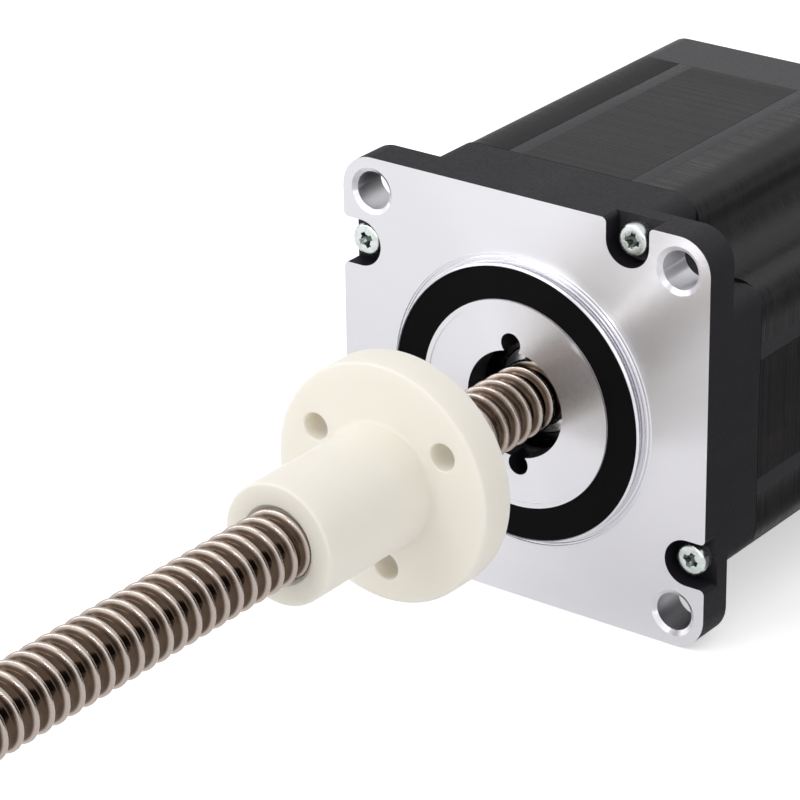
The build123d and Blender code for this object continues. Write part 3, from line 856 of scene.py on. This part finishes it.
class MOTOR_OT_stack(bpy.types.Operator):
    """Stator stack as separate laminations, and the weld runs that hold them"""

    bl_idname = "motor.stack"
    bl_label = "Lamination stack"

    def execute(self, context):
        source = frame["nodes"]["stator_stack"]
        stack = bpy.data.objects.new("stator_laminations", source.data.copy())
        stack.data.name = "stator_laminations"
        bpy.context.collection.objects.link(stack)
        length = STACK_HIGH.y - STACK_LOW.y
        count = round(length / sizes().sheet_thick)
        pitch = length / count
        edit(stack)
        bpy.ops.mesh.remove_doubles(threshold=MERGE)
        close_edit()
        front = STACK_LOW.y + 0.01 * MM
        edit_faces(stack, lambda face: face.center.y > front)
        bpy.ops.mesh.delete(type="FACE")
        inside = HALF - 2 * WELD_DEPTH
        edit_points(stack, lambda vertex: max(abs(vertex.co.x), abs(vertex.co.z)) < inside)
        bpy.ops.mesh.remove_doubles(threshold=OUTLINE_STEP)
        bpy.ops.mesh.select_all(action="SELECT")
        thick = pitch - sizes().sheet_gap
        bpy.ops.mesh.extrude_region_move(TRANSFORM_OT_translate={"value": (0, thick, 0)})
        face_outwards()
        apply_modifier(stack, "ARRAY", count=count, use_relative_offset=False, use_constant_offset=True,
                       constant_offset_displace=(0, pitch, 0))
        smooth(stack, 30)
        dress(stack, lamination_finish(pitch), "housing", "lamination_steel", "stator_stack")

        bpy.ops.object.select_all(action="DESELECT")
        bpy.ops.mesh.primitive_cube_add(size=1)
        weld = named("weld_run_1")
        depth = WELD_DEPTH - 2 * WELD_PLAY
        height = HALF - WELD_DEPTH + depth / 2 + WELD_PLAY
        moved(weld, Matrix.Diagonal((WELD_WIDTH - 8 * WELD_PLAY, length - 20 * WELD_PLAY, depth, 1)))
        moved(weld, Matrix.Translation((0, (STACK_LOW.y + STACK_HIGH.y) / 2, height)))
        break_edges(weld, 3)
        smooth(weld, 40)
        finish = weld_finish()
        for k, run in enumerate(repeated(weld, "weld_run", 8)):
            side = WELD_SIDE if k % 2 else -WELD_SIDE
            quarter = Matrix.Rotation(tau / 4 * (k // 2), 4, "Y")
            moved(run, quarter @ Matrix.Translation((side, 0, 0)))
            dress(run, finish, "housing", "lamination_steel")
        return {"FINISHED"}


class MOTOR_OT_castings(bpy.types.Operator):
    """Finishes of the two end bells"""

    bl_idname = "motor.castings"
    bl_label = "End bells"

    def execute(self, context):
        repaint(bell_finish(), "front_end_bell")
        repaint(satin_enamel(), "rear_end_bell")
        return {"FINISHED"}


class MOTOR_OT_inner_parts(bpy.types.Operator):
    """Finishes of the windings, insulators, rotor, bearings and lead outlet"""

    bl_idname = "motor.inner_parts"
    bl_label = "Inner parts"

    def execute(self, context):
        nylon = plastic_finish("white_glass_filled_nylon", "#ecebe4", 0.5, 1.53)
        bearing = metal_finish("ground_bearing_steel", "#cfcfd2", 0.15)
        shield = metal_finish("pressed_shield_steel", "#5e5c5a", 0.25)
        cage = plastic_finish("cage_nylon", "#cbbf9f", 0.45, 1.53)
        cups = metal_finish("ground_electrical_steel", "#b4b4b4", 0.28)
        repaint(winding_finish(), "phase_a_coils", "phase_b_coils")
        repaint(nylon, "front_insulator", "rear_insulator")
        repaint(plastic_finish("black_rubber", "#1c1c1d", 0.65, 1.52), "lead_grommet")
        for end in ("front", "rear"):
            repaint(bearing, f"{end}_spacer", f"{end}_bearing_inner_ring",
                    f"{end}_bearing_outer_ring", f"{end}_bearing_balls")
            repaint(shield, f"{end}_bearing_shields")
            repaint(cage, f"{end}_bearing_cage")
            repaint(cups, f"rotor_cup_{end}")
        repaint(metal_finish("blued_spring_steel", "#6d7078", 0.3), "preload_washer")
        repaint(metal_finish("nickel_plated_magnet", "#c9c5ba", 0.2), "rotor_magnet")
        return {"FINISHED"}


# Camera, lamps and floor

VIEW_AZIMUTH = 37.004
VIEW_ELEVATION = 24.543
VIEW_ROLL = radians(-0.827)
VIEW_DISTANCE = 501.811 * MM
VIEW_TARGET = Vector((-19.465, 0, -5.019)) * MM
SENSOR = 36.0
FOCAL_LENGTH = 171.34
WHITE = (1, 1, 1, 1)
WORLD_LIGHT = 0.8
FLOOR_GLOW = 0.5
FLOOR_SHEEN = 0.23


def aim(back, roll=0.0):
    """A turn that looks along -back, with Z up and then rolled."""
    right = (-back).cross(Vector((0, 0, 1))).normalized()
    up = right.cross(-back)
    turned_right = right * cos(roll) + up * sin(roll)
    turned_up = up * cos(roll) - right * sin(roll)
    return Matrix((turned_right, turned_up, back)).transposed().to_4x4()


def direction(azimuth, elevation):
    """From the object towards a place at that azimuth and elevation, in degrees."""
    a, e = radians(azimuth), radians(elevation)
    return Vector((sin(a) * cos(e), -cos(a) * cos(e), sin(e)))


def facing(azimuth, elevation, distance):
    """A place at that azimuth, elevation and distance, turned towards the object."""
    back = direction(azimuth, elevation)
    return Matrix.Translation(back * distance) @ aim(back)


def area_lamp(name, azimuth, elevation, distance, width, height, power):
    lamp = bpy.data.lights.new(name, "AREA")
    lamp.shape = "RECTANGLE"
    lamp.size = width
    lamp.size_y = height
    lamp.energy = power
    holder = bpy.data.objects.new(name, lamp)
    bpy.context.collection.objects.link(holder)
    holder.matrix_world = facing(azimuth, elevation, distance)


def card(name, place, width, height, strength):
    """A studio card that only reflections see: dark ones give metal its contrast, bright ones
    its streaks."""
    bpy.ops.object.select_all(action="DESELECT")
    bpy.ops.mesh.primitive_plane_add(size=1)
    sheet = named(name)
    moved(sheet, place @ Matrix.Diagonal((width, height, 1, 1)))
    material, tree = new_material(name)
    glow = add(tree, "Emission", {"Color": WHITE, "Strength": strength})
    add(tree, "OutputMaterial", {"Surface": glow})
    sheet.data.materials.append(material)
    sheet.visible_camera = False
    sheet.visible_diffuse = False
    sheet.visible_shadow = False
    sheet.visible_transmission = False


class MOTOR_OT_stage(bpy.types.Operator):
    """Camera at the photograph's angle, pale floor, white surroundings and soft lamps"""

    bl_idname = "motor.stage"
    bl_label = "Stage"

    def execute(self, context):
        lens = bpy.data.cameras.new("camera")
        lens.sensor_width = SENSOR
        lens.lens = FOCAL_LENGTH
        lens.clip_start = 0.01
        lens.clip_end = 20
        camera = bpy.data.objects.new("camera", lens)
        bpy.context.collection.objects.link(camera)
        back = direction(VIEW_AZIMUTH, VIEW_ELEVATION)
        place = Matrix.Translation(VIEW_TARGET + back * VIEW_DISTANCE)
        camera.matrix_world = place @ aim(back, VIEW_ROLL)
        context.scene.camera = camera

        world = bpy.data.worlds.new("studio")
        world.use_nodes = True
        tree = world.node_tree
        tree.nodes.clear()
        rays = add(tree, "LightPath").outputs
        reflected = {0: rays["Is Glossy Ray"], 1: rays["Is Transmission Ray"]}
        mirrored = add(tree, "Math", reflected, operation="MAXIMUM")
        seen = add(tree, "Math", {0: rays["Is Camera Ray"], 1: mirrored}, operation="MAXIMUM")
        strength = add(tree, "Mix", {0: seen, 2: WORLD_LIGHT, 3: 1.0})
        glow = add(tree, "Background", {"Color": WHITE, "Strength": strength})
        add(tree, "OutputWorld", {"Surface": glow})
        context.scene.world = world

        bpy.ops.object.select_all(action="DESELECT")
        bpy.ops.mesh.primitive_plane_add(size=6)
        floor = named("floor")
        floor_height = STACK_LOW.z - 0.05 * MM
        moved(floor, Matrix.Translation((0, 0, floor_height)))
        material, tree = new_material("white_sweep")
        rays = add(tree, "LightPath").outputs
        for_camera = add(tree, "Math", {0: rays["Is Camera Ray"], 1: FLOOR_GLOW}, operation="MULTIPLY")
        sheen = {0: rays["Is Glossy Ray"], 1: FLOOR_SHEEN, 2: for_camera}
        strength = add(tree, "Math", sheen, operation="MULTIPLY_ADD")
        paper = add(tree, "BsdfDiffuse", {"Color": (0.85, 0.85, 0.85, 1)})
        glow = add(tree, "Emission", {"Color": WHITE, "Strength": strength})
        both = add(tree, "AddShader", {0: paper, 1: glow})
        add(tree, "OutputMaterial", {"Surface": both})
        floor.data.materials.append(material)

        # Azimuth, elevation and distance, then width, height and power or strength
        area_lamp("key_lamp", -25, 50, 1.2, 0.6, 0.6, 2.8)
        area_lamp("fill_lamp", -60, 25, 1.2, 0.5, 0.5, 1.4)
        above_floor = floor_height + 0.02 * MM
        card("dark_card_right", facing(112, 0, 1.0), 1.6, 1.6, 0.03)
        card("dark_card_floor", Matrix.Translation((0.235, 0.16, above_floor)), 0.4, 0.32, 0.12)
        card("grey_card_back", facing(-143, 25, 1.2), 1.6, 0.9, 0.6)
        card("bright_card_front", facing(6, 14, 1.3), 2.1, 0.54, 1.6)
        card("streak_card", facing(0, 8, 1.2), 0.022, 0.022, 700)
        card("soft_streak_card", facing(-42, 33, 1.2), 0.12, 0.12, 12)
        context.scene.view_settings.view_transform = "Standard"
        return {"FINISHED"}


class MOTOR_PT_panel(bpy.types.Panel):
    """Sizes, colours and pieces of the motor"""

    bl_idname = "MOTOR_PT_panel"
    bl_label = "Linear stepper motor"
    bl_space_type = "VIEW_3D"
    bl_region_type = "UI"
    bl_category = "Motor"

    def draw(self, context):
        layout = self.layout
        for group in (context.scene.motor_sizes, context.scene.motor_colours):
            box = layout.box()
            for name in group.__annotations__:
                box.prop(group, name)
        for operator in OPERATORS:
            layout.operator(operator.bl_idname)


OPERATORS = (
    MOTOR_OT_stage,
    MOTOR_OT_castings,
    MOTOR_OT_inner_parts,
    MOTOR_OT_stack,
    MOTOR_OT_tie_screws,
    MOTOR_OT_flange_nut,
    MOTOR_OT_lead_screw,
)
CLASSES = (MotorSizes, MotorColours) + OPERATORS + (MOTOR_PT_panel,)


def register():
    for item in CLASSES:
        bpy.utils.register_class(item)
    bpy.types.Scene.motor_sizes = bpy.props.PointerProperty(type=MotorSizes)
    bpy.types.Scene.motor_colours = bpy.props.PointerProperty(type=MotorColours)


def unregister():
    del bpy.types.Scene.motor_colours
    del bpy.types.Scene.motor_sizes
    for item in reversed(CLASSES):
        bpy.utils.unregister_class(item)


def main():
    register()
    bpy.ops.motor.stage()
    bpy.ops.motor.castings()
    bpy.ops.motor.inner_parts()
    bpy.ops.motor.stack()
    bpy.ops.motor.tie_screws()
    bpy.ops.motor.flange_nut()
    bpy.ops.motor.lead_screw()


if __name__ == "__main__":
    main()
